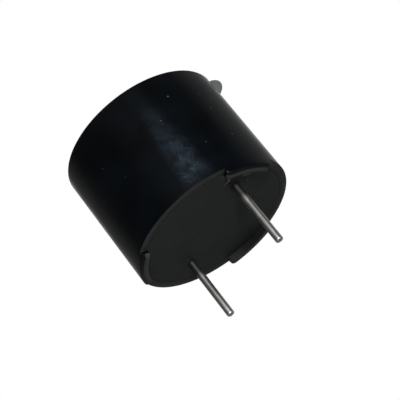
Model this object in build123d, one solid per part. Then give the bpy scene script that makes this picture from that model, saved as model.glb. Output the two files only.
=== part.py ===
from build123d import *
import math
import os

os.makedirs("parts", exist_ok=True)

# Piezo buzzer with two solder pins, in millimetres.
# The origin is the centre of the seating plane, on which the three feet stand on a circuit card.
# +Z points to the sound side and +X from the negative pin to the positive pin.

# Case moulding
body_diameter = 12.0
body_height = 8.9
rim_wall = 0.6
side_wall = 0.8
top_wall = 0.7
top_edge_chamfer = 0.08
rim_edge_chamfer = 0.05
front_cavity_depth = 1.1
disc_ledge_width = 0.8
sound_hole_diameter = 2.2
sound_hole_chamfer = 0.15

# Feet on the rim
foot_count = 3
foot_height = 0.5
foot_arc = 39.0
foot_edge_chamfer = 0.06

# Base plate and its glue
plate_thickness = 1.0
plate_gap = 0.05
glue_groove = 0.3
glue_set_back = 0.03
boss_diameter = 1.6
board_lift = 0.5

# Solder pins
pin_diameter = 0.55
pin_inset = 2.25
positive_pin_length = 5.1
negative_pin_length = 4.8
pin_tip_chamfer = 0.12
pin_collar_diameter = 1.1
pin_collar_thickness = 0.6
pin_collar_cover = 0.08
pin_stub_diameter = 0.45
pin_stub = 0.5

# Sealing label
label_thickness = 0.1
label_margin = 1.0
tab_width = 3.0
tab_overhang = 0.75
tab_azimuth = 55.0
tab_root_radius = 0.8

# Piezo element
disc_thickness = 0.15
disc_gap = 0.1
bare_rim = 1.5
ceramic_thickness = 0.15
electrode_margin = 0.3
electrode_thickness = 0.05
feedback_stem_width = 1.3
feedback_head_diameter = 1.9
feedback_head_reach = 0.9
electrode_split = 0.3
feedback_azimuth = -20.0
seal_width = 0.7
seal_height = 0.5

# Circuit board
board_thickness = 0.8
board_gap = 0.4
board_margin = 0.6
pin_hole_gap = 0.08

# Transistor
transistor_length = 2.9
transistor_width = 1.3
transistor_height = 0.9
transistor_standoff = 0.1
transistor_edge = 0.12
lead_pitch = 0.95
lead_width = 0.4
lead_thickness = 0.12
lead_reach = 0.6
lead_knee = 0.3
lead_exit_height = 0.5

# Chip resistors
resistor_length = 1.0
resistor_width = 0.5
resistor_height = 0.35
resistor_cap = 0.25
resistor_inset = 0.93
bias_resistor_azimuth = 145.0
feedback_resistor_azimuth = 35.0
output_resistor_azimuth = 205.0

# Choke
choke_headroom = 1.3
choke_middle_gap = 0.2
choke_flange = 0.6
choke_winding_depth = 1.1
choke_turns = 5
choke_winding_gap = 0.15
choke_leg_diameter = 0.4
choke_leg_inset = 0.65
choke_leg_tail = 0.25

# Lead wires to the piezo element and the solder joints
wire_diameter = 0.4
element_pad_inset = 0.6
main_pad_azimuth = 200.0
ground_azimuth = -25.0
joint_diameter = 0.8
joint_height = 0.35
joint_gap = 0.05
pin_joint_diameter = 1.3
pin_joint_height = 0.4

# Sizes that follow from the ones above
body_radius = body_diameter / 2
base_z = foot_height
top_z = base_z + body_height
seat_radius = body_radius - rim_wall
chamber_radius = body_radius - side_wall
cavity_radius = chamber_radius - disc_ledge_width
plate_top_z = base_z + plate_thickness
cavity_top_z = top_z - top_wall
ledge_z = cavity_top_z - front_cavity_depth
disc_radius = chamber_radius - disc_gap
disc_z = ledge_z - disc_thickness
ceramic_diameter = 2 * (disc_radius - bare_rim)
ceramic_radius = ceramic_diameter / 2
ceramic_z = disc_z - ceramic_thickness
electrode_z = ceramic_z - electrode_thickness
electrode_radius = ceramic_radius - electrode_margin
board_radius = chamber_radius - board_gap
board_z = plate_top_z + board_lift
board_top_z = board_z + board_thickness
pin_radius = pin_diameter / 2
stub_radius = pin_stub_diameter / 2
pin_pitch = body_diameter - 2 * pin_inset
pin_x = pin_pitch / 2
pin_stations = (pin_x, -pin_x)
wire_radius = wire_diameter / 2
choke_diameter = board_radius - board_margin - choke_middle_gap
choke_radius = choke_diameter / 2
choke_hub_diameter = choke_diameter - 2 * choke_winding_depth
choke_y = -(choke_middle_gap + choke_radius)
choke_top_z = electrode_z - choke_headroom
choke_leg_pitch = choke_diameter - 2 * choke_leg_inset
transistor_y = board_radius - board_margin - lead_reach - transistor_width / 2
seal_inner_radius = chamber_radius - seal_width
ground_radius = (ceramic_radius + seal_inner_radius) / 2
ground_joint_diameter = seal_inner_radius - ceramic_radius - 2 * joint_gap


def post(radius, z_bottom, z_top, x=0.0, y=0.0):
    """Upright round post between two heights."""
    shape = Cylinder(radius, z_top - z_bottom, align=(Align.CENTER, Align.CENTER, Align.MIN))
    return Pos(x, y, z_bottom) * shape


def block(length, width, z_bottom, z_top, x=0.0, y=0.0):
    """Upright block between two heights."""
    shape = Box(length, width, z_top - z_bottom, align=(Align.CENTER, Align.CENTER, Align.MIN))
    return Pos(x, y, z_bottom) * shape


def outline(points):
    """Closed flat face through points given as radius and height."""
    return make_face(Polyline(*points, close=True))


def corner(face, radius, height):
    """Corner of a flat face that lies nearest to a radius and a height."""
    return face.vertices().sort_by_distance((radius, height, 0))[0]


def turned(face, arc=360.0):
    """Solid of revolution about Z from a face given as radius and height."""
    return revolve(Plane.XZ * face, Axis.Z, revolution_arc=arc)


def polar(radius, azimuth):
    """Point of the XY plane at a radius and an azimuth in degrees."""
    angle = math.radians(azimuth)
    return radius * math.cos(angle), radius * math.sin(angle)


def case_cup():
    """Turned form of the case: stepped bore, sound hole, and a rim as deep as the feet all round."""
    hole_radius = sound_hole_diameter / 2
    profile = outline([
        (seat_radius, 0),
        (body_radius, 0),
        (body_radius, top_z),
        (hole_radius, top_z),
        (hole_radius, cavity_top_z),
        (cavity_radius, cavity_top_z),
        (cavity_radius, ledge_z),
        (chamber_radius, ledge_z),
        (chamber_radius, plate_top_z),
        (seat_radius, plate_top_z),
    ])
    profile = chamfer(corner(profile, body_radius, 0), foot_edge_chamfer)
    profile = chamfer(corner(profile, body_radius, top_z), top_edge_chamfer)
    profile = chamfer(corner(profile, hole_radius, top_z), sound_hole_chamfer)
    return turned(profile)


def rim_gap(azimuth):
    """Space between two feet, which leaves the rim there level with the base and bevelled outside."""
    gap_arc = 360 / foot_count - foot_arc
    inner = seat_radius - rim_wall
    outer = body_radius + rim_wall
    profile = outline([
        (inner, -foot_height),
        (outer, -foot_height),
        (outer, base_z + rim_edge_chamfer),
        (body_radius, base_z + rim_edge_chamfer),
        (body_radius - rim_edge_chamfer, base_z),
        (inner, base_z),
    ])
    return Rot(0, 0, azimuth + foot_arc / 2) * turned(profile, gap_arc)


def case_shell():
    """One moulding on three arc feet, the first of them in line with the positive pin."""
    shell = case_cup()
    for index in range(foot_count):
        shell -= rim_gap(index * 360 / foot_count)
    return shell


def pin_shape(length):
    """Solder pin with a bevelled tip, a collar held in the base plate and a thinner stub above it."""
    tip_z = base_z - length
    collar_z = base_z + pin_collar_cover
    collar_top_z = collar_z + pin_collar_thickness
    collar_radius = pin_collar_diameter / 2
    profile = outline([
        (0, tip_z),
        (pin_radius, tip_z),
        (pin_radius, collar_z),
        (collar_radius, collar_z),
        (collar_radius, collar_top_z),
        (stub_radius, collar_top_z),
        (stub_radius, board_top_z + pin_stub),
        (0, board_top_z + pin_stub),
    ])
    profile = chamfer(corner(profile, pin_radius, tip_z), pin_tip_chamfer)
    return turned(profile)


def terminal_pin_positive():
    """Longer pin, at +X."""
    return Pos(pin_x, 0, 0) * pin_shape(positive_pin_length)


def terminal_pin_negative():
    """Shorter pin, at -X."""
    return Pos(-pin_x, 0, 0) * pin_shape(negative_pin_length)


def base_plate():
    """Disc that closes the case, moulded round the pins, with three bosses under the board."""
    plate_radius = seat_radius - plate_gap
    profile = outline([
        (0, base_z),
        (plate_radius, base_z),
        (plate_radius, plate_top_z - glue_groove),
        (plate_radius - glue_groove, plate_top_z),
        (0, plate_top_z),
    ])
    plate = turned(profile)
    boss_radius = boss_diameter / 2
    for x in pin_stations:
        plate += post(boss_radius, plate_top_z, board_z, x)
    plate += post(boss_radius, plate_top_z, board_z, 0, -pin_x)
    plate -= terminal_pin_positive()
    plate -= terminal_pin_negative()
    return plate


def base_adhesive():
    """Glue that fills the gap round the base plate and the groove under the shoulder of the case."""
    plate_radius = seat_radius - plate_gap
    profile = outline([
        (plate_radius, base_z + glue_set_back),
        (seat_radius, base_z + glue_set_back),
        (seat_radius, plate_top_z),
        (plate_radius - glue_groove, plate_top_z),
        (plate_radius, plate_top_z - glue_groove),
    ])
    return turned(profile)


def sealing_label():
    """Round label over the sound hole, with a pull tab that reaches past the edge of the case."""
    tip_radius = tab_width / 2
    tip_x = body_radius + tab_overhang - tip_radius
    shape = Circle(body_radius - label_margin)
    shape += Pos(tip_x / 2, 0) * Rectangle(tip_x, tab_width)
    shape += Pos(tip_x, 0) * Circle(tip_radius)
    # Grown and shrunk back by the same amount, the two roots of the tab become hollow curves
    shape = offset(offset(shape, tab_root_radius), -tab_root_radius)
    return Pos(0, 0, top_z) * Rot(0, 0, tab_azimuth) * extrude(shape, label_thickness)


def brass_disc():
    """Vibrating disc, seated under the ledge of the case."""
    return post(disc_radius, disc_z, ledge_z)


def piezo_ceramic():
    """Ceramic wafer bonded under the brass disc."""
    return post(ceramic_radius, ceramic_z, disc_z)


def feedback_outline(growth):
    """Keyhole outline of the feedback electrode, grown by a margin on every side."""
    head = Circle(feedback_head_diameter / 2 + growth)
    stem_length = electrode_radius - feedback_head_reach
    stem = Pos(stem_length / 2, 0) * Rectangle(stem_length, feedback_stem_width + 2 * growth)
    return Rot(0, 0, feedback_azimuth) * Pos(feedback_head_reach, 0) * (head + stem)


def main_electrode():
    """Silvered face of the ceramic, split round the feedback electrode."""
    shape = Circle(electrode_radius) - feedback_outline(electrode_split)
    return Pos(0, 0, electrode_z) * extrude(shape, electrode_thickness)


def feedback_electrode():
    """Small silvered field that senses the swing of the disc."""
    shape = Circle(electrode_radius) & feedback_outline(0)
    return Pos(0, 0, electrode_z) * extrude(shape, electrode_thickness)


def silicone_ring():
    """Soft bead that holds the edge of the disc against the ledge, sloping up from the wall."""
    return turned(outline([
        (seal_inner_radius, disc_z),
        (chamber_radius, disc_z),
        (chamber_radius, disc_z - seal_height),
    ]))


def circuit_board():
    """Round board on the bosses of the base plate, with holes for the pins and the choke legs."""
    board = post(board_radius, board_z, board_top_z)
    for x in pin_stations:
        board -= post(stub_radius + pin_hole_gap, board_z, board_top_z, x)
    for side in (-1, 1):
        board -= post(choke_leg_diameter / 2, board_z, board_top_z, side * choke_leg_pitch / 2, choke_y)
    return board


def transistor_body():
    """Small moulded transistor on the board."""
    bottom_z = board_top_z + transistor_standoff
    body = block(transistor_length, transistor_width, bottom_z, bottom_z + transistor_height, 0, transistor_y)
    return chamfer(body.faces().sort_by(Axis.Z)[-1].edges(), transistor_edge)


def transistor_lead(x, side):
    """Bent lead from the flank of the transistor down to the board."""
    exit_z = lead_exit_height
    profile = outline([
        (0, exit_z - lead_thickness),
        (lead_knee - lead_thickness, exit_z - lead_thickness),
        (lead_knee - lead_thickness, 0),
        (lead_reach, 0),
        (lead_reach, lead_thickness),
        (lead_knee, lead_thickness),
        (lead_knee, exit_z),
        (0, exit_z),
    ])
    lead = extrude(Plane.XZ * profile, lead_width / 2, both=True)
    flank_y = transistor_y + side * transistor_width / 2
    return Pos(x, flank_y, board_top_z) * Rot(0, 0, side * 90) * lead


def transistor_leads():
    """Three leads: two on the near flank and one on the far flank."""
    near = [transistor_lead(x, -1) for x in (-lead_pitch, lead_pitch)]
    return Compound(near + [transistor_lead(0, 1)])


def on_board(shape, azimuth):
    """Chip resistor moved from the origin to its place near the edge of the board."""
    return Rot(0, 0, azimuth) * Pos(board_radius - resistor_inset, 0, 0) * shape


def resistor_body(azimuth):
    """Ceramic bar of a chip resistor between its end caps."""
    length = resistor_length - 2 * resistor_cap
    return on_board(block(resistor_width, length, board_top_z, board_top_z + resistor_height), azimuth)


def resistor_caps(azimuth):
    """Two tinned end caps of a chip resistor."""
    offset = (resistor_length - resistor_cap) / 2
    top = board_top_z + resistor_height
    caps = [block(resistor_width, resistor_cap, board_top_z, top, 0, side * offset) for side in (-1, 1)]
    return on_board(Compound(caps), azimuth)


def choke_core():
    """Ferrite drum: a hub between two flanges, with holes for the legs in the lower flange."""
    hub_radius = choke_hub_diameter / 2
    profile = outline([
        (0, board_top_z),
        (choke_radius, board_top_z),
        (choke_radius, board_top_z + choke_flange),
        (hub_radius, board_top_z + choke_flange),
        (hub_radius, choke_top_z - choke_flange),
        (choke_radius, choke_top_z - choke_flange),
        (choke_radius, choke_top_z),
        (0, choke_top_z),
    ])
    core = turned(profile)
    for side in (-1, 1):
        core -= post(choke_leg_diameter / 2, board_top_z, board_top_z + choke_flange, side * choke_leg_pitch / 2)
    return Pos(0, choke_y, 0) * core


def choke_winding():
    """Enamelled wire wound on the hub, its outer turns showing as ridges."""
    hub_radius = choke_hub_diameter / 2
    bottom_z = board_top_z + choke_flange
    winding_height = choke_top_z - choke_flange - bottom_z
    turn_height = winding_height / choke_turns
    crest = choke_radius - choke_winding_gap
    valley = crest - turn_height / 2
    points = [(hub_radius, bottom_z)]
    for index in range(choke_turns):
        points.append((valley, bottom_z + index * turn_height))
        points.append((crest, bottom_z + (index + 0.5) * turn_height))
    points.append((valley, bottom_z + winding_height))
    points.append((hub_radius, bottom_z + winding_height))
    return Pos(0, choke_y, 0) * turned(outline(points))


def choke_legs():
    """Two legs from the winding through the lower flange and the board."""
    bottom = board_z - choke_leg_tail
    top = board_top_z + choke_flange
    radius = choke_leg_diameter / 2
    return Compound([post(radius, bottom, top, side * choke_leg_pitch / 2, choke_y) for side in (-1, 1)])


# Places of the three lead wires, each of which stands straight on the board
element_pad_radius = electrode_radius - element_pad_inset
main_pad = polar(element_pad_radius, main_pad_azimuth)
feedback_pad = polar(element_pad_radius, feedback_azimuth)
ground_pad = polar(ground_radius, ground_azimuth)
wire_pads = (main_pad, feedback_pad, ground_pad)


def lead_wire(pad, top_z):
    """Insulated wire from the board straight up to an electrode or to the rim of the brass disc."""
    return post(wire_radius, board_top_z, top_z, *pad)


def solder_cone(diameter, height, core_radius):
    """Solder fillet round a wire or a pin, widest on the surface that it wets."""
    return turned(outline([(core_radius, 0), (diameter / 2, 0), (core_radius, height)]))


def board_solder_joints():
    """Three joints where the lead wires meet the board."""
    cone = solder_cone(joint_diameter, joint_height, wire_radius)
    return Compound([Pos(*pad, board_top_z) * cone for pad in wire_pads])


def element_solder_joints():
    """Three joints where the lead wires meet the electrodes and the rim of the disc."""
    cone = Rot(180, 0, 0) * solder_cone(joint_diameter, joint_height, wire_radius)
    ground_cone = Rot(180, 0, 0) * solder_cone(ground_joint_diameter, joint_height, wire_radius)
    joints = [Pos(*pad, electrode_z) * cone for pad in (main_pad, feedback_pad)]
    return Compound(joints + [Pos(*ground_pad, disc_z) * ground_cone])


def pin_solder_joints():
    """Two joints where the pins come through the board."""
    cone = solder_cone(pin_joint_diameter, pin_joint_height, stub_radius)
    return Compound([Pos(x, 0, board_top_z) * cone for x in pin_stations])


resistor_azimuths = {
    "bias_resistor": bias_resistor_azimuth,
    "feedback_resistor": feedback_resistor_azimuth,
    "output_resistor": output_resistor_azimuth,
}

nodes = {
    "case_shell": case_shell(),
    "base_plate": base_plate(),
    "base_adhesive": base_adhesive(),
    "terminal_pin_positive": terminal_pin_positive(),
    "terminal_pin_negative": terminal_pin_negative(),
    "sealing_label": sealing_label(),
    "brass_disc": brass_disc(),
    "piezo_ceramic": piezo_ceramic(),
    "main_electrode": main_electrode(),
    "feedback_electrode": feedback_electrode(),
    "silicone_ring": silicone_ring(),
    "circuit_board": circuit_board(),
    "transistor_body": transistor_body(),
    "transistor_leads": transistor_leads(),
    "choke_core": choke_core(),
    "choke_winding": choke_winding(),
    "choke_legs": choke_legs(),
    "main_wire": lead_wire(main_pad, electrode_z),
    "feedback_wire": lead_wire(feedback_pad, electrode_z),
    "ground_wire": lead_wire(ground_pad, disc_z),
    "board_solder_joints": board_solder_joints(),
    "element_solder_joints": element_solder_joints(),
    "pin_solder_joints": pin_solder_joints(),
}
for name, azimuth in resistor_azimuths.items():
    nodes[name] = resistor_body(azimuth)
    nodes[name + "_caps"] = resistor_caps(azimuth)

for name, shape in nodes.items():
    export_step(shape, "parts/" + name + ".step")
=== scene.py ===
import logging
import math
from dataclasses import dataclass, field
from enum import Enum
from typing import Callable, Sequence

import bpy
from mathutils import Matrix, Vector


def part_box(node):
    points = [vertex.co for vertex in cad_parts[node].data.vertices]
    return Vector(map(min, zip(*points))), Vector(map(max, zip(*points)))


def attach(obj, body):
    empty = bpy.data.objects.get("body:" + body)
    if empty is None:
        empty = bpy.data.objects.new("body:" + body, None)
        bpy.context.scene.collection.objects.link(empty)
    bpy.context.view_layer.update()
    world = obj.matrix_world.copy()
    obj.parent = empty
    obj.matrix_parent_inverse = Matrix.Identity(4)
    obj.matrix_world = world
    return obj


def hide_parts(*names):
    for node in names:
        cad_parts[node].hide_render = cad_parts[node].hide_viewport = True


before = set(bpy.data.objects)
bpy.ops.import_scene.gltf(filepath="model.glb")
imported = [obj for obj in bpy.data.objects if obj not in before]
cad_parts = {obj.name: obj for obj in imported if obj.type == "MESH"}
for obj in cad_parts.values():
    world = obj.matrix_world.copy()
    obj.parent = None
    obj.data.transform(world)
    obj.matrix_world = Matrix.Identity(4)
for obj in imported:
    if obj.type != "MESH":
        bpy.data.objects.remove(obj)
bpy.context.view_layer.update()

LOG = logging.getLogger("piezo_buzzer")
MM = 0.001
FULL_TURN = 2 * math.pi
SHARP_ANGLE = math.radians(32.0)

# Sizes that several pieces and finishes share
BODY_RADIUS = 6.0 * MM
BASE_FACE = 0.5 * MM
PLATE_THICKNESS = 1.0 * MM
RIM_WALL = 0.6 * MM
PIN_X = 3.75 * MM
PIN_RADIUS = 0.275 * MM
FOOT_COUNT = 3
FOOT_PITCH = FULL_TURN / FOOT_COUNT
FOOT_ARC = math.radians(39.0)

Colour = tuple[float, float, float]
Point = tuple[float, float]
Point3 = tuple[float, float, float]
Span = tuple[float, float]


def operator(operation: str, swapped: bool = False) -> Callable:
    """Makes a method of Wire that adds a Math node.

    Args:
        operation: The operation of the node.
        swapped: Whether the wire comes after the other value.

    Returns:
        The method.
    """
    def method(wire: "Wire", *others: "Value") -> "Wire":
        """Result of the operation on the wire and the other value, if it takes one."""
        values = (wire, *others)
        return wire.owner.calc(operation, *(reversed(values) if swapped else values))
    return method


@dataclass(frozen=True, eq=False)
class Wire:
    """One output of a node, which takes part in ordinary arithmetic."""

    owner: "Tree"
    socket: bpy.types.NodeSocket | None

    __add__ = __radd__ = operator("ADD")
    __mul__ = __rmul__ = operator("MULTIPLY")
    __sub__, __rsub__ = operator("SUBTRACT"), operator("SUBTRACT", swapped=True)
    __truediv__, __rtruediv__ = operator("DIVIDE"), operator("DIVIDE", swapped=True)
    __pow__ = operator("POWER")
    __abs__, __round__, __floor__ = operator("ABSOLUTE"), operator("ROUND"), operator("FLOOR")
    at_least, root, sine = operator("MAXIMUM"), operator("SQRT"), operator("SINE")

    def over(self, low: float, high: float) -> "Wire":
        """Smooth step from 0 at one value of this wire to 1 at another.

        Args:
            low: Where the step starts.
            high: Where it ends; below low, the step falls.

        Returns:
            The step, between 0 and 1.
        """
        if low > high:
            return 1 - self.over(high, low)
        return self.owner.node("ShaderNodeMapRange", {0: self, 1: low, 2: high}, interpolation_type="SMOOTHSTEP")

    def outputs(self, *names: str) -> tuple["Wire", ...]:
        """Outputs of the wire's own node: those with the given names, or else all."""
        found = self.socket.node.outputs
        return tuple(Wire(self.owner, found[name]) for name in names or range(len(found)))

    def parts(self) -> tuple["Wire", ...]:
        """X, Y and Z of a vector."""
        return self.owner.node("ShaderNodeSeparateXYZ", {0: self}).outputs()

    def vector_math(self, operation: str, fixed: Sequence[float], output: str = "Vector") -> "Wire":
        """Result of a Vector Math node on this vector and a fixed one; the output may also be Value."""
        return self.owner.node("ShaderNodeVectorMath", {0: self, 1: fixed}, output, operation=operation)

    def stretched(self, *scale: float) -> "Wire":
        """This vector times a fixed scale, so that a pattern on it becomes finer along an axis."""
        return self.vector_math("MULTIPLY", scale)

    def noise(self, scale: float, detail: float = 3.0, rough: float = 0.5) -> "Wire":
        """Cloudy pattern at this place.

        Args:
            scale: How many patches there are in a metre.
            detail: How many finer octaves are added.
            rough: How strong the finer octaves are.

        Returns:
            A value around 0.5.
        """
        inputs = {"Vector": self, "Scale": scale, "Detail": detail, "Roughness": rough}
        return self.owner.node("ShaderNodeTexNoise", inputs)

    def blend(self, first: "Colour | Wire", second: "Colour | Wire") -> "Wire":
        """Mixes two colours by this factor.

        Args:
            first: The colour at 0.
            second: The colour at 1.

        Returns:
            The mixed colour.
        """
        ends = [value if isinstance(value, Wire) else (*value, 1.0) for value in (first, second)]
        inputs = {0: self, 6: ends[0], 7: ends[1]}
        return self.owner.node("ShaderNodeMix", inputs, 2, data_type="RGBA", clamp_factor=True)

    def bump(self, distance: float, under: "Wire | None" = None) -> "Wire":
        """Turns this height pattern into a bent normal.

        Args:
            distance: How high 1 is, in metres.
            under: Another bump that this one lies on.

        Returns:
            The normal.
        """
        inputs = {"Height": self, "Distance": distance} | ({"Normal": under} if under else {})
        return self.owner.node("ShaderNodeBump", inputs)


Value = float | int | Wire | Sequence[float]


class Tree:
    """Nodes of a material, of the world or of a shape."""

    def __init__(self, tree: bpy.types.NodeTree) -> None:
        """Starts with an emptied tree.

        Args:
            tree: The node tree to fill.
        """
        self.tree = tree
        self.tree.nodes.clear()

    def node(self, kind: str, inputs: dict | None = None, output: int | str = 0, **settings: object) -> Wire:
        """Adds any node.

        Args:
            kind: The node's type name.
            inputs: Values or wires for its sockets, by name or by place.
            output: Which output to hand back.
            **settings: Properties of the node, set before its sockets.

        Returns:
            The chosen output, or an empty wire if the node has none.
        """
        made = self.tree.nodes.new(kind)
        for name, value in settings.items():
            setattr(made, name, value)
        for name, value in (inputs or {}).items():
            if isinstance(value, Wire):
                self.tree.links.new(value.socket, made.inputs[name])
            else:
                made.inputs[name].default_value = value
        return Wire(self, made.outputs[output] if made.outputs else None)

    def calc(self, operation: str, *values: Value) -> Wire:
        """Adds a Math node.

        Args:
            operation: Its operation.
            *values: Its values or wires.

        Returns:
            Its result.
        """
        return self.node("ShaderNodeMath", dict(enumerate(values)), operation=operation)

    def combine(self, x: Value = 0.0, y: Value = 0.0, z: Value = 0.0) -> Wire:
        """Makes a vector of three numbers."""
        return self.node("ShaderNodeCombineXYZ", {0: x, 1: y, 2: z})


def radial(x: Wire, y: Wire) -> Wire:
    """Distance of a place from the upright axis through X 0 and Y 0."""
    return (x * x + y * y) ** 0.5


def from_foot(x: Wire, y: Wire) -> Wire:
    """Angle in radians between a place and the middle of the nearest rim foot, seen from the axis.

    Args:
        x: The place's X.
        y: Its Y.

    Returns:
        The angle, never negative.
    """
    azimuth = x.owner.calc("ARCTAN2", y, x)
    return abs(azimuth - round(azimuth / FOOT_PITCH) * FOOT_PITCH)


@dataclass(frozen=True)
class Patches:
    """Cloudy noise, cut into soft patches between the two noise values of its span."""

    scale: float
    octaves: int
    span: Span
    rough: float = 0.5

    def on(self, place: Wire) -> Wire:
        """How far a place lies inside a patch, from 0 to 1."""
        return place.noise(self.scale, self.octaves, self.rough).over(*self.span)


@dataclass(frozen=True)
class Specks:
    """Dots in the cells of a pattern, of which only those in some patches show."""

    scale: float
    size: Span
    gathered: Patches

    def on(self, place: Wire) -> Wire:
        """How far a place lies inside a dot, from 0 to 1."""
        cells = place.owner.node("ShaderNodeTexVoronoi", {"Vector": place, "Scale": self.scale}, "Distance")
        return cells.over(*self.size) * self.gathered.on(place)


@dataclass(frozen=True)
class Mark:
    """A grain of dust or a nick, given by where it lies."""

    place: Point3
    size: float

    @classmethod
    def on_side(cls, azimuth: float, height: float, size: float) -> "Mark":
        """Mark on the round side of the case.

        Args:
            azimuth: Where it is round the axis, in degrees.
            height: Its height, in millimetres.
            size: Its half width, in millimetres.

        Returns:
            The mark.
        """
        angle = math.radians(azimuth)
        return cls((BODY_RADIUS * math.cos(angle), BODY_RADIUS * math.sin(angle), height * MM), size * MM)

    @classmethod
    def on_base(cls, x: float, y: float, size: float) -> "Mark":
        """Mark on the face of the base, in millimetres."""
        return cls((x * MM, y * MM, BASE_FACE), size * MM)


class Finish:
    """Base of the surface finishes: makes one material and fills its node tree."""

    name: str

    def material(self) -> bpy.types.Material:
        """Builds the material once, and gives the same one on later calls.

        Returns:
            The material.
        """
        label = self.name + "_finish"
        found = bpy.data.materials.get(label)
        if found:
            return found
        made = bpy.data.materials.new(label)
        made.use_nodes = True
        tree = Tree(made.node_tree)
        place = tree.node("ShaderNodeTexCoord", output="Object")
        surface = tree.node("ShaderNodeBsdfPrincipled", self.surface(place))
        tree.node("ShaderNodeOutputMaterial", {"Surface": surface})
        return made

    def surface(self, place: Wire) -> dict:
        """Gives the sockets of the Principled shader.

        Args:
            place: The shaded place in the part's own frame, in metres.

        Returns:
            Values and wires by socket name.
        """
        raise NotImplementedError


class MarkedFinish(Finish):
    """Finish with a few single marks on it."""

    marks: tuple[Mark, ...]
    raggedness: float = 0.07 * MM

    def marked(self, place: Wire) -> Wire:
        """Where the marks are, with ragged outlines."""
        ragged = self.raggedness * (place.noise(9000, 2) - 0.5)
        shown = (
            (place.vector_math("DISTANCE", mark.place, "Value") + ragged).over(mark.size, mark.size * 0.5)
            for mark in self.marks)
        return place.owner.node("ShaderNodeClamp", {0: sum(shown)})


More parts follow.
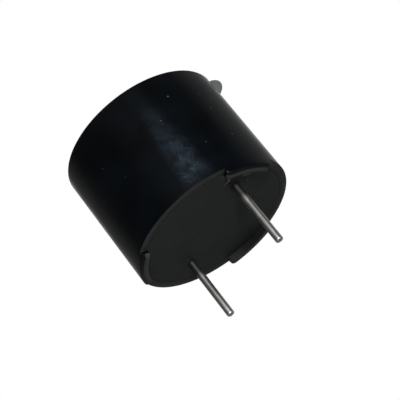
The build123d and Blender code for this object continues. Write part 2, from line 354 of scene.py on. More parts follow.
@dataclass(frozen=True)
class CasePlastic(MarkedFinish):
    """Satin black moulding with a pale stretch of scuffing on one side, partly a painted highlight, a matte skin round
    the base, a painted sheen at the rim's outer edge, and painted shade on the feet's ends and inner walls.
    """

    name: str = "case_plastic"
    base: Colour = (0.0003, 0.0005, 0.0006)
    tint: Colour = (0.0004, 0.0008, 0.0014)
    # Pale bluish scuff colour: partly real scuffing, partly a painted highlight.
    worn: Colour = (0.0096, 0.0160, 0.0230)
    dust: Colour = (0.036, 0.040, 0.042)
    rim: Colour = (0.0060, 0.0069, 0.0064)
    # Paler rim colour near its outer edge: a painted sheen where the edge catches light.
    rim_pale: Colour = (0.0142, 0.0144, 0.0132)
    foot_face: Colour = (0.0145, 0.0150, 0.0140)
    # Dark colour on the feet's inner walls: painted shade.
    inner: Colour = (0.0014, 0.0018, 0.0016)
    fleck: Colour = (0.075, 0.080, 0.075)
    rim_top: Span = (0.56 * MM, 0.52 * MM)
    rim_inset: Span = (0.02 * MM, 0.06 * MM)
    rim_pale_inset: Span = (0.45 * MM, 0.10 * MM)
    inner_inset: Span = (0.55 * MM, 0.59 * MM)
    foot_face_height: Span = (0.30 * MM, 0.12 * MM)
    foot_end_blur: Span = (0.022, 0.012)
    foot_end_low: Span = (0.20 * MM, 0.28 * MM)
    foot_end_high: Span = (0.49 * MM, 0.44 * MM)
    foot_edge_high: Span = (0.44 * MM, 0.40 * MM)
    foot_edge_inset: Span = (0.27 * MM, 0.20 * MM)
    bevel_inset: Span = (0.0005 * MM, 0.003 * MM)
    bevel_low: Span = (0.49 * MM, 0.51 * MM)
    bevel_high: Span = (1.0 * MM, 0.8 * MM)
    roughness: float = 0.28
    rim_roughness: float = 0.62
    gloss: float = 0.08
    # Where the stretch lies also places the painted highlight, which fades towards the top.
    scuff_azimuth: float = math.radians(-35.5)
    scuff_half_width: float = 0.25
    scuff_taper: float = 12.0
    scuff_fade: Span = (9.6 * MM, 2.2 * MM)
    scuff_start: Span = (0.5 * MM, 1.3 * MM)
    scuff_front: Span = (0.0, 2.0 * MM)
    scratch_turns_and_scales: tuple = ((-40.0, 1500), (28.0, 1900), (75.0, 2300))
    scratch_length: float = 0.22
    scratch_width: float = 0.030
    scratch_fade: Span = (6.8 * MM, 2.4 * MM)
    scratch_depth: float = 0.0022 * MM
    ripple_depth: float = 0.012 * MM
    cloud: Patches = Patches(300, 3, (0.35, 0.65))
    hair: Patches = Patches(9000, 5, (0.56, 0.72), 0.7)
    wear: Patches = Patches(1100, 3, (0.36, 0.62))
    rim_wear: Patches = Patches(700, 3, (0.25, 0.6))
    specks: Specks = Specks(1100, (0.060, 0.030), Patches(350, 2, (0.60, 0.70)))
    rim_specks: Specks = Specks(2300, (0.09, 0.05), Patches(800, 2, (0.60, 0.70)))
    marks: tuple = (
        *(Mark.on_side(*mark) for mark in (
            (-17.9, 7.41, 0.062), (-32.1, 5.96, 0.042), (4.9, 5.60, 0.050), (4.4, 3.04, 0.045),
            (-32.8, 1.80, 0.040), (-17.2, 2.96, 0.045), (-71.8, 4.48, 0.035), (-81.7, 6.34, 0.030))),
        *(Mark.on_base(*mark) for mark in (
            (-5.45, -0.43, 0.060), (-5.52, -0.76, 0.055), (-5.43, -1.62, 0.045), (-4.97, -2.74, 0.060),
            (-4.69, -3.01, 0.055))),
    )

    def scratches(self, across: Wire, height: Wire, turn: float, scale: float) -> Wire:
        """Short fine scratches on the side, which mostly run one way.

        Args:
            across: How far the shaded place lies round the side from the scuff, in metres.
            height: Its height.
            turn: The scratches' slope, in degrees.
            scale: How many of them lie side by side in a metre.

        Returns:
            How deep the place lies in a scratch.
        """
        run, rise = math.cos(math.radians(turn)), math.sin(math.radians(turn))
        along = (across * run + height * rise) * self.scratch_length
        flat = across.owner.combine(along, height * run - across * rise)
        return abs(flat.noise(scale, 2) - 0.5).over(self.scratch_width, 0.0)

    def scuffs(self, place: Wire) -> tuple[Wire, Wire]:
        """Stretch of scuffing on the side, whose pale colour is partly a painted highlight.

        Args:
            place: The shaded place.

        Returns:
            How far the skin is scuffed, which also places the painted highlight, and the hairlines on it.
        """
        x, y, z = place.parts()
        run, rise = math.cos(self.scuff_azimuth), math.sin(self.scuff_azimuth)
        toward = x * run + y * rise
        across = y * run - x * rise
        aside = abs(across / (toward + 0.01 * MM))
        stretch = (aside / (self.scuff_half_width - self.scuff_taper * z)).over(1.0, 0.0)
        low = toward.over(*self.scuff_front) * z.over(*self.scuff_fade) * z.over(*self.scuff_start)
        worn = stretch * low * (0.35 + 0.65 * self.wear.on(place))
        lines = sum(
            self.scratches(across, z, turn, scale) * Patches(scale * 0.7, 2, (0.46, 0.62)).on(place)
            for turn, scale in self.scratch_turns_and_scales)
        return worn, lines * (0.35 + 0.65 * z.over(*self.scratch_fade))

    def skirt(self, place: Wire) -> Wire:
        """Matte skin on the rim, under the feet and inside them, but not on the side, nor on the feet's ends, which
        keep the black skin as painted shade.
        """
        x, y, z = place.parts()
        inward = BODY_RADIUS - radial(x, y)
        beside = abs(from_foot(x, y) - FOOT_ARC / 2)
        # The feet's end walls stay black: painted shade.
        shaded_foot_end = beside.over(*self.foot_end_blur) * z.over(*self.foot_end_low) * z.over(*self.foot_end_high)
        foot_edge = z.over(*self.foot_edge_high) * inward.over(*self.foot_edge_inset)
        return z.over(*self.rim_top) * inward.over(*self.rim_inset) * (1 - foot_edge) * (1 - shaded_foot_end)

    def surface(self, place: Wire) -> dict:
        """Wear lies where the part was held and slid, and its pale colour is partly a painted highlight; the rim is
        matte like the base it frames, with a painted sheen at its outer edge and painted shade on the feet's ends and
        inner walls.
        """
        x, y, z = place.parts()
        inward = BODY_RADIUS - radial(x, y)
        worn, lines = self.scuffs(place)
        skirt = self.skirt(place)
        cloud = self.cloud.on(place)
        hair = self.hair.on(place.stretched(1.0, 1.0, 0.22))
        nicks = self.specks.on(place) * 0.5 + self.marked(place)
        skin = cloud.blend(self.base, self.tint)
        # Scuff colour, partly a painted highlight.
        scuffed_sheen = (worn * (0.40 + 0.90 * lines)).blend(skin, self.worn)
        # Painted sheen, paler in patches towards the rim's outer edge.
        pale = inward.over(*self.rim_pale_inset) * self.rim_wear.on(place)
        rim = pale.blend(self.rim, self.rim_pale)
        faced = z.over(*self.foot_face_height).blend(rim, self.foot_face)
        # Painted shade on the feet's inner walls.
        walled = inward.over(*self.inner_inset).blend(faced, self.inner)
        matte = self.rim_specks.on(place).blend(walled, self.fleck)
        bevel = inward.over(*self.bevel_inset) * z.over(*self.bevel_low) * z.over(*self.bevel_high)
        shiny = self.roughness + 0.06 * cloud + 0.14 * worn + 0.25 * nicks + 0.34 * bevel
        waved = place.noise(420, 2).bump(self.ripple_depth)
        scratched = place.noise(30000, 2) * 0.25 + (hair + lines) * (0.08 + 0.92 * worn)
        return {
            "Base Color": nicks.blend(skirt.blend(scuffed_sheen, matte), self.dust),
            "Roughness": skirt * self.rim_roughness + (1 - skirt) * shiny,
            "Normal": scratched.bump(self.scratch_depth, waved),
            "Specular IOR Level": self.gloss,
        }


@dataclass(frozen=True)
class BasePlastic(MarkedFinish):
    """Matte dark grey plate with a faintly cloudy skin, pale specks and a fine grain, with a painted light gradient,
    painted light beside the near foot and painted shadow round the pins' roots.
    """

    name: str = "base_plastic"
    base: Colour = (0.0040, 0.0050, 0.0047)
    # Lit end of the painted light gradient.
    pale: Colour = (0.0062, 0.0074, 0.0068)
    fleck: Colour = (0.062, 0.068, 0.064)
    # Painted shadow round the pins' roots.
    sunk: Colour = (0.0026, 0.0034, 0.0031)
    # Painted light beside the near foot, against the shade there.
    rubbed: Colour = (0.0105, 0.0122, 0.0113)
    sunk_ring: Span = (0.6 * MM, 0.3 * MM)
    rubbed_arc: Span = (0.44, 0.28)
    rubbed_reach: Span = (4.2 * MM, 5.3 * MM)
    rubbed_side: Span = (0.0, 4.0 * MM)
    roughness: float = 0.62
    gloss: float = 0.08
    grain_depth: float = 0.004 * MM
    cloud: Patches = Patches(330, 4, (0.35, 0.68), 0.6)
    specks: Specks = Specks(1500, (0.09, 0.04), Patches(500, 2, (0.58, 0.68)))
    marks: tuple = tuple(Mark.on_base(*mark) for mark in (
        (4.63, 0.32, 0.075), (4.66, 0.50, 0.090), (4.67, 0.70, 0.085), (4.69, 0.94, 0.060), (4.11, 0.87, 0.055),
        (4.56, -1.02, 0.090), (4.37, -0.89, 0.130), (4.20, -1.00, 0.090), (4.02, -1.05, 0.070), (1.84, 2.59, 0.045),
        (0.71, 4.66, 0.040), (1.69, 2.87, 0.050), (-3.30, -0.62, 0.050), (-0.30, -3.04, 0.030)))

    def surface(self, place: Wire) -> dict:
        """Cloudy patches a few millimetres wide under a fine grain; painted light makes it paler towards the foot of
        the positive pin and beside the near foot, and painted shadow rings the pins' roots.
        """
        x, y, _ = place.parts()
        cloud = self.cloud.on(place)
        # Painted light gradient: paler towards the positive pin's side.
        painted_light_drift = (x - 0.5 * y).over(-BODY_RADIUS, BODY_RADIUS)
        even = (0.45 * cloud + 0.55 * painted_light_drift).blend(self.base, self.pale)
        # Painted light on the plate beside the near foot.
        beside = from_foot(x, y).over(*self.rubbed_arc) * radial(x, y).over(*self.rubbed_reach)
        rubbed = (beside * x.over(*self.rubbed_side)).blend(even, self.rubbed)
        # Painted shadow ring round each pin's root.
        colour = radial(abs(x) - PIN_X, y).over(*self.sunk_ring).blend(rubbed, self.sunk)
        specks = self.specks.on(place) + self.marked(place)
        return {
            "Base Color": specks.blend(colour, self.fleck),
            "Roughness": self.roughness + 0.14 * (cloud - 0.5),
            "Normal": place.noise(16000, 3, 0.6).bump(self.grain_depth),
            "Specular IOR Level": self.gloss,
        }


@dataclass(frozen=True)
class TinnedMetal(Finish):
    """Drawn or pressed metal under a thin, slightly dull coat of tin."""

    name: str = "tinned_pin"
    bright: Colour = (0.42, 0.42, 0.405)
    dull: Colour = (0.32, 0.32, 0.305)
    roughness: float = 0.30
    draw_depth: float = 0.0004 * MM
    patches: Patches = Patches(1500, 3, (0.45, 0.75), 0.6)
    pits: Specks = Specks(5000, (0.16, 0.05), Patches(1200, 2, (0.50, 0.65)))

    def surface(self, place: Wire) -> dict:
        """Fine lines run along the pin, and duller patches lie on it."""
        lines = place.stretched(1.0, 1.0, 0.012).noise(12000, 2)
        patch = self.patches.on(place.stretched(1.0, 1.0, 0.5))
        dulled = 0.75 * patch + 0.25 * self.pits.on(place)
        return {
            "Base Color": dulled.blend(self.bright, self.dull),
            "Metallic": 1.0,
            "Roughness": self.roughness + 0.10 * patch + 0.06 * (lines - 0.5),
            "Normal": lines.bump(self.draw_depth),
        }


@dataclass(frozen=True)
class PinMetal(TinnedMetal):
    """Tinned pin, darker and duller towards its root, and dull where its tip was cut."""

    # Darker colour towards the root.
    root: Colour = (0.050, 0.050, 0.048)
    tip: Colour = (0.20, 0.20, 0.195)
    root_fade: Span = (-1.3 * MM, -0.3 * MM)
    tip_inset: Span = (0.001 * MM, 0.008 * MM)
    tip_fade: Span = (-3.0 * MM, -4.0 * MM)

    def surface(self, place: Wire) -> dict:
        """The pins' own lines and patches, under the darker root and the dull tip."""
        sockets = super().surface(place)
        x, y, z = place.parts()
        inward = PIN_RADIUS - radial(abs(x) - PIN_X, y)
        root = z.over(*self.root_fade)
        tip = inward.over(*self.tip_inset) * z.over(*self.tip_fade)
        dulled = root.blend(sockets["Base Color"], self.root)
        sockets["Base Color"] = tip.blend(dulled, self.tip)
        sockets["Roughness"] = sockets["Roughness"] + 0.14 * root + 0.20 * tip
        return sockets


@dataclass(frozen=True)
class LabelFilm(Finish):
    """White film label with a faint fibre in its face, and dark grey adhesive under it, which is partly painted shade.
    """

    name: str = "label_paper"
    base: Colour = (0.72, 0.73, 0.71)
    shade: Colour = (0.62, 0.63, 0.60)
    # Dark grey under the film: adhesive, partly painted shade.
    gum: Colour = (0.095, 0.100, 0.098)
    gum_top: float = 9.45 * MM
    gum_blur: float = 0.02 * MM
    fibre_depth: float = 0.004 * MM

    def surface(self, place: Wire) -> dict:
        """Short fibres cross each other in two directions."""
        along = place.stretched(0.15, 1.0, 1.0).noise(9000, 4, 0.6)
        across = place.stretched(1.0, 0.15, 1.0).noise(9000, 4, 0.6)
        fibre = (along + across) * 0.5
        film = (fibre.over(0.40, 0.65) * 0.5 + place.noise(400) * 0.3).blend(self.base, self.shade)
        # Below the film's face: the grey adhesive colour, partly painted shade.
        below = place.parts()[2].over(self.gum_top + self.gum_blur, self.gum_top - self.gum_blur)
        return {
            "Base Color": below.blend(film, self.gum),
            "Roughness": 0.55 + 0.15 * (fibre - 0.5),
            "Normal": fibre.bump(self.fibre_depth),
        }


@dataclass(frozen=True)
class Moulded(Finish):
    """Plain moulded or fired stuff in one colour, with cloudy variation and a fine grain."""

    name: str
    base: Colour
    other: Colour
    roughness: float
    cloud_scale: float
    grain_scale: float = 14000.0
    grain_depth: float = 0.004 * MM
    gloss: float = 0.5

    def surface(self, place: Wire) -> dict:
        """Two near colours in soft patches over a fine grain."""
        cloud = Patches(self.cloud_scale, 4, (0.35, 0.68), 0.6).on(place)
        grain = place.noise(self.grain_scale, 3, 0.6)
        return {
            "Base Color": cloud.blend(self.base, self.other),
            "Roughness": self.roughness + 0.12 * (cloud - 0.5) + 0.10 * (grain - 0.5),
            "Normal": grain.bump(self.grain_depth),
            "Specular IOR Level": self.gloss,
        }


@dataclass(frozen=True)
class SheetMetal(Finish):
    """Rolled metal sheet or printed metal with lines that run one way."""

    name: str = "brass_sheet"
    bright: Colour = (0.74, 0.54, 0.24)
    dull: Colour = (0.52, 0.36, 0.15)
    roughness: float = 0.32
    line_stretch: float = 0.04
    line_scale: float = 14000.0
    line_depth: float = 0.002 * MM
    tarnish: Patches = Patches(450, 4, (0.40, 0.72), 0.6)

    def surface(self, place: Wire) -> dict:
        """Rolling lines along X under soft tarnish."""
        lines = place.stretched(self.line_stretch, 1.0, 1.0).noise(self.line_scale, 3, 0.6)
        tarnish = self.tarnish.on(place)
        return {
            "Base Color": (0.7 * tarnish).blend(self.bright, self.dull),
            "Metallic": 1.0,
            "Roughness": self.roughness + 0.15 * tarnish + 0.10 * (lines - 0.5),
            "Normal": lines.bump(self.line_depth),
        }


@dataclass(frozen=True)
class Laminate(Finish):
    """Green solder mask over a woven glass board."""

    name: str = "board_laminate"
    base: Colour = (0.020, 0.110, 0.035)
    lift: Colour = (0.035, 0.160, 0.055)
    weave_pitch: float = 0.45 * MM
    weave_depth: float = 0.002 * MM

    def surface(self, place: Wire) -> dict:
        """The glass weave shows as a faint check through the mask."""
        x, y, _ = place.parts()
        turn = FULL_TURN / self.weave_pitch
        weave = 0.5 + 0.5 * (x * turn).sine() * (y * turn).sine()
        cloud = place.noise(600)
        return {
            "Base Color": (weave * 0.5 + cloud * 0.5).blend(self.base, self.lift),
            "Roughness": 0.30 + 0.15 * cloud,
            "Normal": weave.bump(self.weave_depth),
        }


@dataclass(frozen=True)
class EnamelWire(Finish):
    """Copper wire under clear enamel."""

    name: str = "enamelled_copper"
    bright: Colour = (0.62, 0.24, 0.10)
    dark: Colour = (0.36, 0.11, 0.04)
    patches: Patches = Patches(1600, 4, (0.38, 0.66), 0.6)
    patch_depth: float = 0.003 * MM

    def surface(self, place: Wire) -> dict:
        """The enamel is thicker in patches, which darkens the copper."""
        patch = self.patches.on(place)
        return {
            "Base Color": patch.blend(self.bright, self.dark),
            "Metallic": 0.85,
            "Roughness": 0.30 + 0.08 * patch,
            "Coat Weight": 0.6 + 0.3 * patch,
            "Normal": patch.bump(self.patch_depth),
        }


@dataclass(frozen=True)
class FloorPaint(Finish):
    """Dull grey paint of the studio floor."""

    name: str = "floor"
    base: Colour = (0.54, 0.54, 0.54)

    def surface(self, place: Wire) -> dict:
        """One even colour."""
        return {"Base Color": (*self.base, 1.0), "Roughness": 0.9, "Specular IOR Level": 0.1}


CASE = CasePlastic()
BASE = BasePlastic()
PIN = PinMetal()
FILM = LabelFilm()
GLUE = Moulded("adhesive", (0.0042, 0.0052, 0.0048), (0.0064, 0.0075, 0.0069), 0.62, 700, gloss=0.08)
BRASS = SheetMetal()
SILVER = SheetMetal("silver_print", (0.74, 0.74, 0.72), (0.58, 0.58, 0.55), 0.48, 1.0, 9000, 0.003 * MM)
CERAMIC = Moulded("piezo_ceramic", (0.56, 0.52, 0.40), (0.64, 0.60, 0.48), 0.62, 900)
SILICONE = Moulded("silicone", (0.62, 0.63, 0.61), (0.72, 0.73, 0.71), 0.38, 500)
LAMINATE = Laminate()
COMPOUND = Moulded("moulding_compound", (0.016, 0.016, 0.018), (0.028, 0.028, 0.030), 0.55, 1800)
LEAD = TinnedMetal("tinned_lead", (0.66, 0.66, 0.64), (0.46, 0.46, 0.44))
GLAZE = Moulded("resistor_ceramic", (0.020, 0.020, 0.024), (0.034, 0.034, 0.038), 0.32, 2600)
FERRITE = Moulded("ferrite", (0.060, 0.060, 0.064), (0.100, 0.100, 0.105), 0.60, 1500, 20000, 0.008 * MM)
COPPER = EnamelWire()
RED_SLEEVE = Moulded("red_insulation", (0.42, 0.020, 0.016), (0.52, 0.035, 0.028), 0.34, 1200)
BLUE_SLEEVE = Moulded("blue_insulation", (0.020, 0.065, 0.34), (0.035, 0.085, 0.42), 0.34, 1200)
BLACK_SLEEVE = Moulded("black_insulation", (0.014, 0.014, 0.015), (0.026, 0.026, 0.027), 0.34, 1200)
SOLDER = TinnedMetal("solder", (0.70, 0.70, 0.71), (0.52, 0.52, 0.53), 0.28)


def new_object(data: bpy.types.ID) -> bpy.types.Object:
    """Puts a mesh, a lamp or a camera into the scene as an object of the same name at the origin.

    Args:
        data: The mesh, lamp or camera.

    Returns:
        The object.
    """
    made = bpy.data.objects.new(data.name, data)
    bpy.context.scene.collection.objects.link(made)
    return made


def new_mesh(name: str, verts: Sequence[Point3], faces: Sequence[Sequence[int]] = ()) -> bpy.types.Mesh:
    """Makes a mesh of points and faces.

    Args:
        name: The mesh's name.
        verts: Its points.
        faces: Its faces, as places in the row of points.

    Returns:
        The mesh.
    """
    mesh = bpy.data.meshes.new(name)
    mesh.from_pydata(verts, [], faces)
    mesh.update()
    return mesh


def face_out(mesh: bpy.types.Mesh) -> None:
    """Turns the faces of a closed mesh outwards, if its volume comes out negative."""
    volume = 0.0
    for polygon in mesh.polygons:
        corners = [mesh.vertices[index].co for index in polygon.vertices]
        for second, third in zip(corners[1:-1], corners[2:]):
            volume += corners[0].dot(second.cross(third))
    if volume < 0:
        mesh.flip_normals()


def arc(centre: Point, radius: float, start: float, end: float, steps: int) -> list[Point]:
    """Points along an arc.

    Args:
        centre: Its centre.
        radius: Its radius.
        start: The angle of its first point, in degrees.
        end: The angle of its last point, in degrees.
        steps: How many chords it has.

    Returns:
        Its points, both ends included.
    """
    angles = [math.radians(start + (end - start) * index / steps) for index in range(steps + 1)]
    return [(centre[0] + radius * math.cos(a), centre[1] + radius * math.sin(a)) for a in angles]


def divided(start: Point, end: Point, count: int) -> list[Point]:
    """Points inside a straight stretch, without its ends."""
    shares = [index / (count + 1) for index in range(1, count + 1)]
    return [(start[0] + (end[0] - start[0]) * s, start[1] + (end[1] - start[1]) * s) for s in shares]


def deliver(mesh: bpy.types.Mesh, finish: Finish, *replaced: str) -> None:
    """Makes a finished piece of a mesh: smooth, with its material and body, and with the nodes it stands for hidden.

    Args:
        mesh: The piece's mesh, which has its name.
        finish: Its finish.
        *replaced: The nodes that it replaces.
    """
    mesh.shade_smooth()
    mesh.set_sharp_from_angle(angle=SHARP_ANGLE)
    mesh.materials.clear()
    mesh.materials.append(finish.material())
    piece = new_object(mesh)
    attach(piece, "root")
    if replaced:
        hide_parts(*replaced)
    LOG.info("%s: %d vertices, finish %s", piece.name, len(mesh.vertices), finish.name)


def turned_mesh(name: str, section: Sequence[Point], segments: int, centre: Point = (0.0, 0.0)) -> bpy.types.Mesh:
    """Closed solid of revolution about an upright axis.

    Args:
        name: The mesh's name.
        section: Radius and height of each corner, anticlockwise with the radius to the right. It may be a loop
            beside the axis, or start and end on the axis.
        segments: How many faces go round.
        centre: Where the axis stands.

    Returns:
        The mesh, with its faces outwards.
    """
    verts, rows = [], []
    for radius, height in section:
        count = segments if radius > 0 else 1
        rows.append([len(verts) + index % count for index in range(segments)])
        for index in range(count):
            angle = FULL_TURN * index / segments
            verts.append((centre[0] + radius * math.cos(angle), centre[1] + radius * math.sin(angle), height))
    faces = []
    for low, high in zip(rows, rows[1:] + rows[:1]):
        for index in range(segments):
            following = (index + 1) % segments
            corners = dict.fromkeys((low[index], low[following], high[following], high[index]))
            if len(corners) > 2:
                faces.append(tuple(corners))
    return new_mesh(name, verts, faces)


class Rule(Tree):
    """A Geometry Nodes tree made in code, with named inputs, that is baked into a plain mesh."""

    def __init__(self, name: str) -> None:
        """Starts an empty tree.

        Args:
            name: The tree's name.
        """
        super().__init__(bpy.data.node_groups.new(name, "GeometryNodeTree"))
        for way in ("INPUT", "OUTPUT"):
            self.tree.interface.new_socket("Geometry", in_out=way, socket_type="NodeSocketGeometry")
        self.entry = self.tree.nodes.new("NodeGroupInput")
        self.values: dict[str, object] = {}

    def given(self, name: str, value: object) -> Wire:
        """Adds a named input.

        Args:
            name: The input's name.
            value: Its value, whose type, such as float or Object, is also the type of the socket.

        Returns:
            The input.
        """
        kind = "NodeSocket" + type(value).__name__.capitalize()
        self.tree.interface.new_socket(name, in_out="INPUT", socket_type=kind)
        self.values[name] = value
        return Wire(self, self.entry.outputs[name])

    def bake(self, geometry: Wire, name: str, finish: Finish) -> bpy.types.Mesh:
        """Closes the tree, runs it once and keeps the result as a plain mesh.

        Args:
            geometry: The output that has the result.
            name: The mesh's name.
            finish: The finish of the piece that it is for.

        Returns:
            The mesh, with its faces outwards.
        """
        material = self.given("Material", finish.material())
        real = self.node("GeometryNodeRealizeInstances", {0: geometry})
        painted = self.node("GeometryNodeSetMaterial", {0: real, "Material": material})
        self.node("NodeGroupOutput", {0: painted})
        carrier = new_object(bpy.data.meshes.new(name + "_carrier"))
        modifier = carrier.modifiers.new(name, "NODES")
        modifier.node_group = self.tree
        for item in self.tree.interface.items_tree:
            if item.in_out == "INPUT" and item.name in self.values:
                modifier[item.identifier] = self.values[item.name]
        carrier.update_tag()
        depsgraph = bpy.context.evaluated_depsgraph_get()
        mesh = bpy.data.meshes.new_from_object(carrier.evaluated_get(depsgraph), depsgraph=depsgraph)
        mesh.name = name
        carrier.modifiers.clear()
        bpy.data.objects.remove(carrier)
        face_out(mesh)
        return mesh


@dataclass
class CaseMoulding:
    """The black case: one turned moulding on three arc feet, with a stepped bore behind its base."""

    side_wall: float = 0.8 * MM
    top_wall: float = 0.7 * MM
    ledge_width: float = 0.8 * MM
    front_depth: float = 1.1 * MM
    hole_radius: float = 1.1 * MM
    hole_chamfer: float = 0.15 * MM
    top_round: float = 0.07 * MM
    foot_round: float = 0.27 * MM
    foot_end_round: float = 0.34 * MM
    rim_bevel: float = 0.06 * MM
    inner_round: float = 0.04 * MM
    shoulder: float = BASE_FACE + 0.3 * MM
    corner_steps: int = 6
    side_rows: int = 5
    face_rows: int = 2
    segments: int = 720
    foot_start: float = 0.001 * MM
    merge_distance: float = 0.0005 * MM
    low: Vector = field(default_factory=lambda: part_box("case_shell")[0])
    high: Vector = field(default_factory=lambda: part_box("case_shell")[1])

    @property
    def radius(self) -> float:
        """Radius of the body."""
        return (self.high.x - self.low.x) / 2

    def rim_section(self, base: float, outer_round: float) -> list[Point]:
        """Lower edge of the rim, from its inner side to its outer side.

        Args:
            base: Height of the edge's lowest face.
            outer_round: Radius of its outer edge.

        Returns:
            Points as radius and height; each call gives the same number of points.
        """
        small = self.inner_round
        inner = self.radius - RIM_WALL + small
        outer = self.radius - outer_round
        points = arc((inner, base + small), small, 180, 270, self.corner_steps // 2)
        points += divided(points[-1], (outer, base), self.face_rows)
        return points + arc((outer, base + outer_round), outer_round, 270, 360, self.corner_steps)

    def upper_section(self) -> list[Point]:
        """Rest of the section: up the side, over the top, and down through the stepped bore."""
        top = self.high.z
        bore = self.radius - self.side_wall
        front = bore - self.ledge_width
        ceiling = top - self.top_wall
        ledge = ceiling - self.front_depth
        seat = self.radius - RIM_WALL
        plate_top = BASE_FACE + PLATE_THICKNESS
        crown = (self.radius - self.top_round, top - self.top_round)
        return [
            (self.radius, self.shoulder),
            *divided((self.radius, self.shoulder), (self.radius, crown[1]), self.side_rows),
            *arc(crown, self.top_round, 0, 90, self.corner_steps),
            (self.hole_radius + self.hole_chamfer, top),
            (self.hole_radius, top - self.hole_chamfer),
            (self.hole_radius, ceiling),
            (front, ceiling),
            (front, ledge),
            (bore, ledge),
            (bore, plate_top),
            (seat, plate_top),
            (seat, self.shoulder),
        ]

    def section_object(self) -> bpy.types.Object:
        """Section through a foot as a row of points, each with its place between the feet as well."""
        upper = self.upper_section()
        at_foot = self.rim_section(0.0, self.foot_round) + upper
        between = self.rim_section(BASE_FACE, self.rim_bevel) + upper
        mesh = new_mesh("case_section", [(r, 0.0, z) for r, z in at_foot + at_foot[:1]])
        other = mesh.attributes.new("between", "FLOAT_VECTOR", "POINT")
        for item, (r, z) in zip(other.data, between + between[:1]):
            item.vector = (r, 0.0, z)
        return new_object(mesh)

    def build(self) -> None:
        """Turns the section once round, and lets the rim stand back between the feet."""
        section = self.section_object()
        rule = Rule("turned_case")
        segments = rule.given("Segments", self.segments)
        points = rule.given("Section Points", len(section.data.vertices))
        feet = rule.given("Foot Count", FOOT_COUNT)
        foot_arc = rule.given("Foot Arc", FOOT_ARC)
        end_round = rule.given("Foot End Round", self.foot_end_round)
        height = rule.given("Foot Height", BASE_FACE)
        radius = rule.given("Body Radius", self.radius)
        source = rule.given("Section", section)
        grid = rule.node("GeometryNodeMeshGrid", {"Vertices X": segments + 1.0, "Vertices Y": points})
        index = rule.node("GeometryNodeInputIndex")
        column = math.floor((index + 0.5) / points)
        row = math.floor(index - column * points + 0.5)
        angle = column / segments * FULL_TURN
        row_of_points = rule.node("GeometryNodeObjectInfo", {"Object": source}, "Geometry", transform_space="ORIGINAL")
        place = rule.node("GeometryNodeInputPosition")
        named = rule.node("GeometryNodeInputNamedAttribute", {"Name": "between"}, data_type="FLOAT_VECTOR")
        at_foot, between = (
            rule.node("GeometryNodeSampleIndex", {0: row_of_points, "Value": value, "Index": row},
                      data_type="FLOAT_VECTOR", domain="POINT")
            for value in (place, named))
        pitch = FULL_TURN / feet
        nearest = abs(angle - round(angle / pitch) * pitch)
        inside = (foot_arc / 2.0 - nearest) * radius
        started = rule.calc("GREATER_THAN", inside, self.foot_start)
        short = (end_round - inside).at_least(0.0)
        sagitta = end_round - (end_round * end_round - short * short).at_least(0.0).root()
        share = started * (1.0 - sagitta / height)
        mixed = rule.node("ShaderNodeMix", {0: share, 4: between, 5: at_foot}, 1, data_type="VECTOR")
        turned = rule.node("ShaderNodeVectorRotate", {"Vector": mixed, "Angle": angle}, rotation_type="Z_AXIS")
        moved = rule.node("GeometryNodeSetPosition", {0: grid, "Position": turned})
        merged = rule.node("GeometryNodeMergeByDistance", {0: moved, "Distance": self.merge_distance})
        deliver(rule.bake(merged, "case_moulding", CASE), CASE, "case_shell")
        bpy.data.objects.remove(section)


@dataclass
class Dressed:
    """Sub-assembly whose solids only get their finishes."""

    finishes: tuple

    def build(self) -> None:
        """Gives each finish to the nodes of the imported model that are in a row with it."""
        for finish, *nodes in self.finishes:
            for piece in (bpy.data.objects[node] for node in nodes):
                for slot in piece.material_slots:
                    slot.material = finish.material()
                if not piece.material_slots:
                    piece.data.materials.append(finish.material())
                LOG.info("%s: dressed as %s", piece.name, finish.name)


@dataclass
class BaseClosure(Dressed):
    """The matte plate that closes the case, with the glue that fills the gap round it."""

    finishes: tuple = ((BASE, "base_plate"),)
    seat_radius: float = BODY_RADIUS - RIM_WALL
    plate_gap: float = 0.05 * MM
    glue_groove: float = 0.3 * MM
    glue_set_back: float = 0.004 * MM
    skin: float = 0.001 * MM
    segments: int = 360

    def build(self) -> None:
        """Keeps the plate's own solid, and lays the glue flush with its face."""
        super().build()
        outer = self.seat_radius - self.skin
        inner = self.seat_radius - self.plate_gap + self.skin
        top = BASE_FACE + PLATE_THICKNESS - self.skin
        low = BASE_FACE + self.glue_set_back
        groove = self.glue_groove
        section = [(inner, low), (outer, low), (outer, top), (inner - groove, top), (inner, top - groove)]
        deliver(turned_mesh("glue_line", section, self.segments), GLUE, "base_adhesive")


class Polarity(Enum):
    """The two solder pins."""

    POSITIVE = "terminal_pin_positive"
    NEGATIVE = "terminal_pin_negative"


@dataclass
class SolderPin:
    """One tinned pin with a cut and tumbled tip."""

    polarity: Polarity
    collar_radius: float = 0.55 * MM
    stub_radius: float = 0.225 * MM
    collar_low: float = 0.58 * MM
    collar_high: float = 1.18 * MM
    tip_round: float = 0.11 * MM
    steps: int = 6
    segments: int = 96

    def build(self) -> None:
        """Turns the pin on its own axis, with a rounded tip."""
        low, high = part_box(self.polarity.value)
        centre = ((low.x + high.x) / 2, (low.y + high.y) / 2)
        corner = (PIN_RADIUS - self.tip_round, low.z + self.tip_round)
        tip = arc(corner, self.tip_round, 270, 360, self.steps)
        outline = [
            (0.0, low.z),
            *tip,
            *divided(tip[-1], (PIN_RADIUS, self.collar_low), self.steps),
            (PIN_RADIUS, self.collar_low),
            (self.collar_radius, self.collar_low),
            (self.collar_radius, self.collar_high),
            (self.stub_radius, self.collar_high),
            (self.stub_radius, high.z),
            (0.0, high.z),
        ]
        name = "solder_pin_" + self.polarity.name.lower()
        deliver(turned_mesh(name, outline, self.segments, centre), PIN, self.polarity.value)


@dataclass
class SealLabel(Dressed):
    """The film seal over the sound hole, with its pull tab."""

    finishes: tuple = ((FILM, "sealing_label"),)


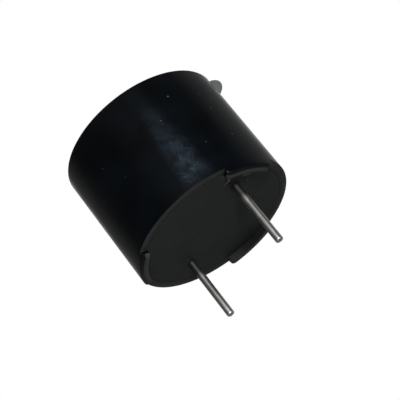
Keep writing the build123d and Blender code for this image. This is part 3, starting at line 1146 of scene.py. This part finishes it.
@dataclass
class PiezoElement(Dressed):
    """The vibrating disc with its ceramic, electrodes and soft seal, inside the case."""

    finishes: tuple = (
        (BRASS, "brass_disc"),
        (CERAMIC, "piezo_ceramic"),
        (SILVER, "main_electrode", "feedback_electrode"),
        (SILICONE, "silicone_ring"),
        (SOLDER, "element_solder_joints"),
    )


@dataclass
class DriverBoard(Dressed):
    """The circuit board with its parts and lead wires, inside the case."""

    finishes: tuple = (
        (LAMINATE, "circuit_board"),
        (COMPOUND, "transistor_body"),
        (GLAZE, "bias_resistor", "feedback_resistor", "output_resistor"),
        (LEAD, "bias_resistor_caps", "feedback_resistor_caps", "output_resistor_caps"),
        (LEAD, "transistor_leads", "choke_legs"),
        (FERRITE, "choke_core"),
        (RED_SLEEVE, "main_wire"),
        (BLUE_SLEEVE, "feedback_wire"),
        (BLACK_SLEEVE, "ground_wire"),
        (SOLDER, "board_solder_joints", "pin_solder_joints"),
    )


@dataclass
class ChokeWinding:
    """Enamelled wire on the hub of the drum choke: an outer layer of single turns over the layers below it."""

    turns: int = 14
    margin: float = 0.02 * MM
    clearance: float = 0.002 * MM
    layer_depth: float = 0.6
    path_steps: int = 96
    wire_steps: int = 10
    hub_radius: float = 0.9 * MM

    def build(self) -> None:
        """Lays the turns side by side, and fills the room between them and the hub."""
        low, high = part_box("choke_winding")
        centre = ((low.x + high.x) / 2, (low.y + high.y) / 2)
        pitch = (high.z - low.z - 2 * self.margin) / self.turns
        wire = pitch / 2 - self.clearance
        crest = (high.x - low.x) / 2 - wire
        rule = Rule("choke_turns")
        count = rule.given("Turns", self.turns)
        path_radius = rule.given("Turn Radius", crest)
        wire_radius = rule.given("Wire Radius", wire)
        spacing = rule.given("Turn Pitch", pitch)
        first = rule.given("First Turn", low.z + self.margin + pitch / 2)
        path, profile = (
            rule.node("GeometryNodeCurvePrimitiveCircle", {"Resolution": steps, "Radius": radius})
            for steps, radius in ((self.path_steps, path_radius), (self.wire_steps, wire_radius)))
        turn = rule.node("GeometryNodeCurveToMesh", {"Curve": path, "Profile Curve": profile})
        start, step = rule.combine(*centre, first), rule.combine(z=spacing)
        stack = rule.node("GeometryNodeMeshLine", {"Count": count, "Start Location": start, "Offset": step})
        laid = rule.node("GeometryNodeInstanceOnPoints", {"Points": stack, "Instance": turn})
        deliver(rule.bake(laid, "winding_turns", COPPER), COPPER, "choke_winding")
        floor, top = low.z + self.clearance, high.z - self.clearance
        inner, outer = self.hub_radius + self.clearance, crest - wire * self.layer_depth
        section = [(inner, floor), (outer, floor), (outer, top), (inner, top)]
        deliver(turned_mesh("winding_layers", section, self.path_steps, centre), COPPER)


def heading(azimuth: float, elevation: float) -> Vector:
    """Direction of length 1, from its azimuth and elevation in degrees."""
    turn, rise = math.radians(azimuth), math.radians(elevation)
    return Vector((math.cos(turn) * math.cos(rise), math.sin(turn) * math.cos(rise), math.sin(rise)))


@dataclass(frozen=True)
class SoftLamp:
    """A soft box, placed by where it stands as seen from the part."""

    name: str
    azimuth: float
    elevation: float
    distance: float
    width: float
    height: float
    power: float
    colour: Colour

    def build(self, target: Vector) -> None:
        """Hangs the lamp so that it faces the part.

        Args:
            target: The point that it faces.
        """
        data = bpy.data.lights.new(self.name, "AREA")
        data.shape = "RECTANGLE"
        data.size = self.width
        data.size_y = self.height
        data.energy = self.power
        data.color = self.colour
        lamp = new_object(data)
        away = heading(self.azimuth, self.elevation)
        turn = away.to_track_quat("Z", "Y").to_matrix().to_4x4()
        lamp.matrix_world = Matrix.Translation(target + away * self.distance) @ turn
        lamp.visible_camera = False


@dataclass(frozen=True)
class Glow:
    """Bright field of the room round one direction, between two cosines of the angle from it."""

    azimuth: float
    elevation: float
    span: Span
    light: float

    def on(self, direction: Wire) -> Wire:
        """How far a ray's direction lies inside the field, from 0 to 1."""
        middle = heading(self.azimuth, self.elevation)
        return direction.vector_math("DOT_PRODUCT", middle, "Value").over(*self.span)


class Studio:
    """Floor, backdrop light, lamps and camera."""

    centre = Vector((0.0, 0.0, 0.004))
    camera_place = Vector((0.06409, -0.06910, -0.04669))
    camera_right = Vector((0.3809, 0.7426, -0.5513))
    camera_up = Vector((0.7034, 0.1541, 0.6937))
    camera_back = Vector((0.6001, -0.6519, -0.4636))
    camera_lens = 141.85
    camera_sensor = 36.0
    camera_clip = (0.001, 20.0)
    floor_half = 4.0
    floor_drop = 0.12
    room_light = 0.08
    behind = Glow(132.6, 27.6, (0.915, 0.970), 0.75)
    glows = (
        Glow(82.0, 27.6, (0.84, 0.90), 0.33),
        Glow(165.0, 20.0, (0.70, 0.95), 0.16),
        Glow(312.0, 27.6, (0.80, 0.95), 0.16),
        Glow(0.0, 90.0, (0.62, 0.92), 1.22),
    )
    lamps = (
        SoftLamp("side_lamp", 336.0, 27.0, 0.40, 0.12, 0.34, 0.052, (0.70, 0.88, 1.0)),
        SoftLamp("low_lamp", 324.0, -14.0, 0.22, 0.04, 0.04, 1.20, (1.0, 1.0, 0.99)),
    )

    def build_floor(self) -> None:
        """Lays a wide pale floor below the camera."""
        signs = ((-1, -1), (1, -1), (1, 1), (-1, 1))
        corners = [(x * self.floor_half, y * self.floor_half, -self.floor_drop) for x, y in signs]
        floor = new_object(new_mesh("floor", corners, [(0, 1, 2, 3)]))
        floor.data.materials.append(FloorPaint().material())

    def build_world(self) -> None:
        """White backdrop for the camera, which gloss sees behind the part, and a dim room in front of it."""
        world = bpy.data.worlds.new("studio")
        bpy.context.scene.world = world
        world.use_nodes = True
        tree = Tree(world.node_tree)
        camera_ray, gloss_ray, clear_ray = tree.node("ShaderNodeLightPath").outputs(
            "Is Camera Ray", "Is Glossy Ray", "Is Transmission Ray")
        direction = tree.node("ShaderNodeTexCoord", output="Generated")
        behind = self.behind.on(direction)
        white = camera_ray + (1 - camera_ray) * gloss_ray.at_least(clear_ray) * behind
        glows = sum(glow.light * glow.on(direction) for glow in self.glows)
        room = self.room_light + glows + self.behind.light * behind
        strength = white + (1 - white) * room
        light = tree.node("ShaderNodeBackground", {"Color": (1.0, 1.0, 1.0, 1.0), "Strength": strength})
        tree.node("ShaderNodeOutputWorld", {"Surface": light})

    def build_camera(self) -> None:
        """Sets the camera where the photograph was taken from."""
        data = bpy.data.cameras.new("camera")
        data.lens = self.camera_lens
        data.sensor_width = self.camera_sensor
        data.clip_start, data.clip_end = self.camera_clip
        camera = new_object(data)
        turn = Matrix((self.camera_right, self.camera_up, self.camera_back)).transposed().to_4x4()
        camera.matrix_world = Matrix.Translation(self.camera_place) @ turn
        bpy.context.scene.camera = camera

    def build(self) -> None:
        """Builds the whole studio."""
        bpy.context.scene.view_settings.view_transform = "Standard"
        self.build_floor()
        self.build_world()
        for lamp in self.lamps:
            lamp.build(self.centre)
        self.build_camera()


def main() -> None:
    """Builds the buzzer's sub-assemblies in order, and then the studio."""
    logging.basicConfig(level=logging.INFO, format="%(name)s %(message)s")
    CaseMoulding().build()
    BaseClosure().build()
    for polarity in Polarity:
        SolderPin(polarity).build()
    SealLabel().build()
    PiezoElement().build()
    DriverBoard().build()
    ChokeWinding().build()
    Studio().build()


if __name__ == "__main__":
    main()
